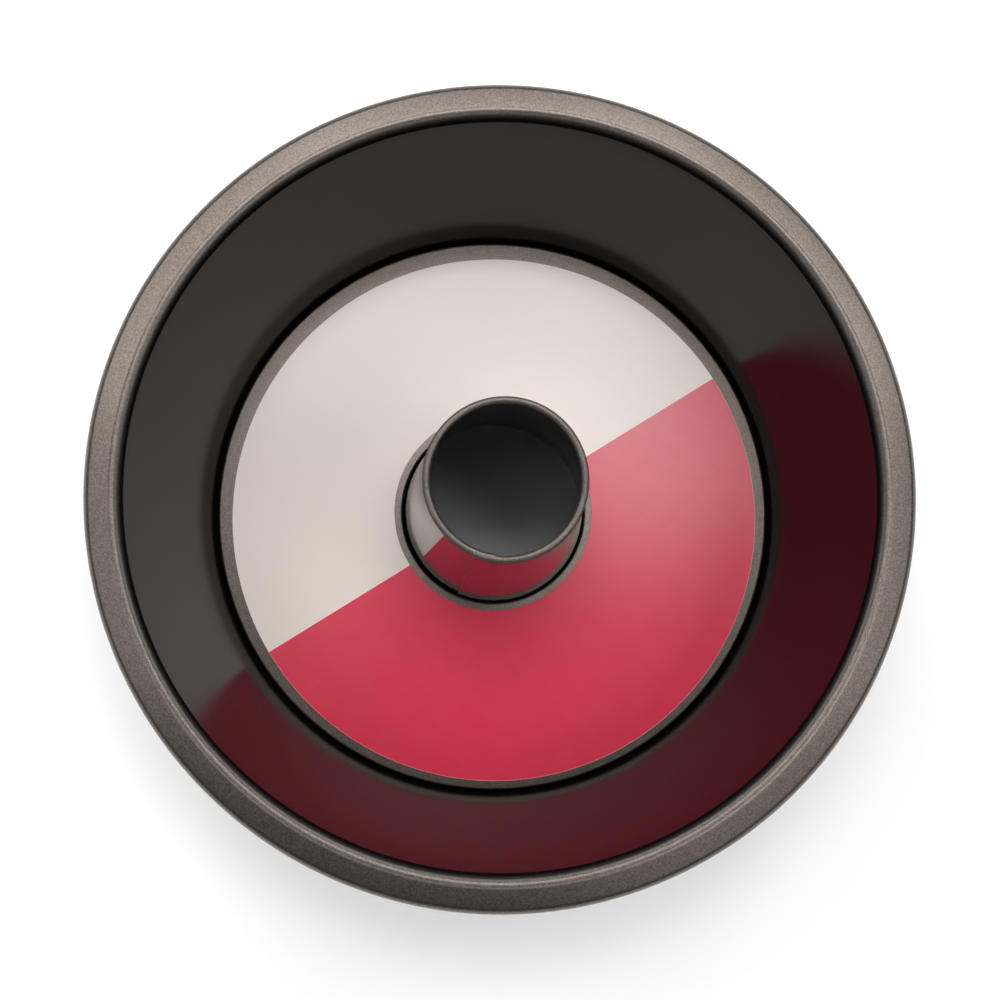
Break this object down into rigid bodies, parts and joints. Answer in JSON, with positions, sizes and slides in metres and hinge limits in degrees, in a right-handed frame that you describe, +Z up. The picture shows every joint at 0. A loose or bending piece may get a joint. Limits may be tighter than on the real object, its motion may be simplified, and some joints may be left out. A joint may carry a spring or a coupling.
{
  "type": "angel food cake pan",
  "caption": "Round tube cake pan in two parts: a tapered non-stick steel shell with a wired rim, and a lift-out base that carries a rolled centre tube and a loose card.",
  "frame": {"origin": "middle of the underside, on the plane the pan stands on", "axes": "+Z up along the axis of the pan and its tube, +X to the right and +Y to the top of the picture, which looks down on it"},
  "size_m": [0.26, 0.26, 0.13],
  "materials": {
    "shell_coating": "non-stick coating, glossy inside and speckled satin outside",
    "wire": "drawn wire",
    "base_coating": "speckled satin non-stick coating",
    "tube_coating": "satin non-stick coating",
    "card_print": "coated board in two colours"
  },
  "bodies": {
    "pan": {"pan_shell": "shell_coating", "rim_wire": "wire"},
    "base": {"base_plate": "base_coating", "centre_tube": "tube_coating"},
    "card": {"insert_card": "card_print"}
  },
  "joints": [
    {"name": "base_lift", "type": "slide", "parent": "pan", "child": "base", "axis": [0, 0, 1], "range_m": [0, 0.12]},
    {"name": "card_lift", "type": "slide", "parent": "base", "child": "card", "axis": [0, 0, 1], "range_m": [0, 0.15]}
  ]
}
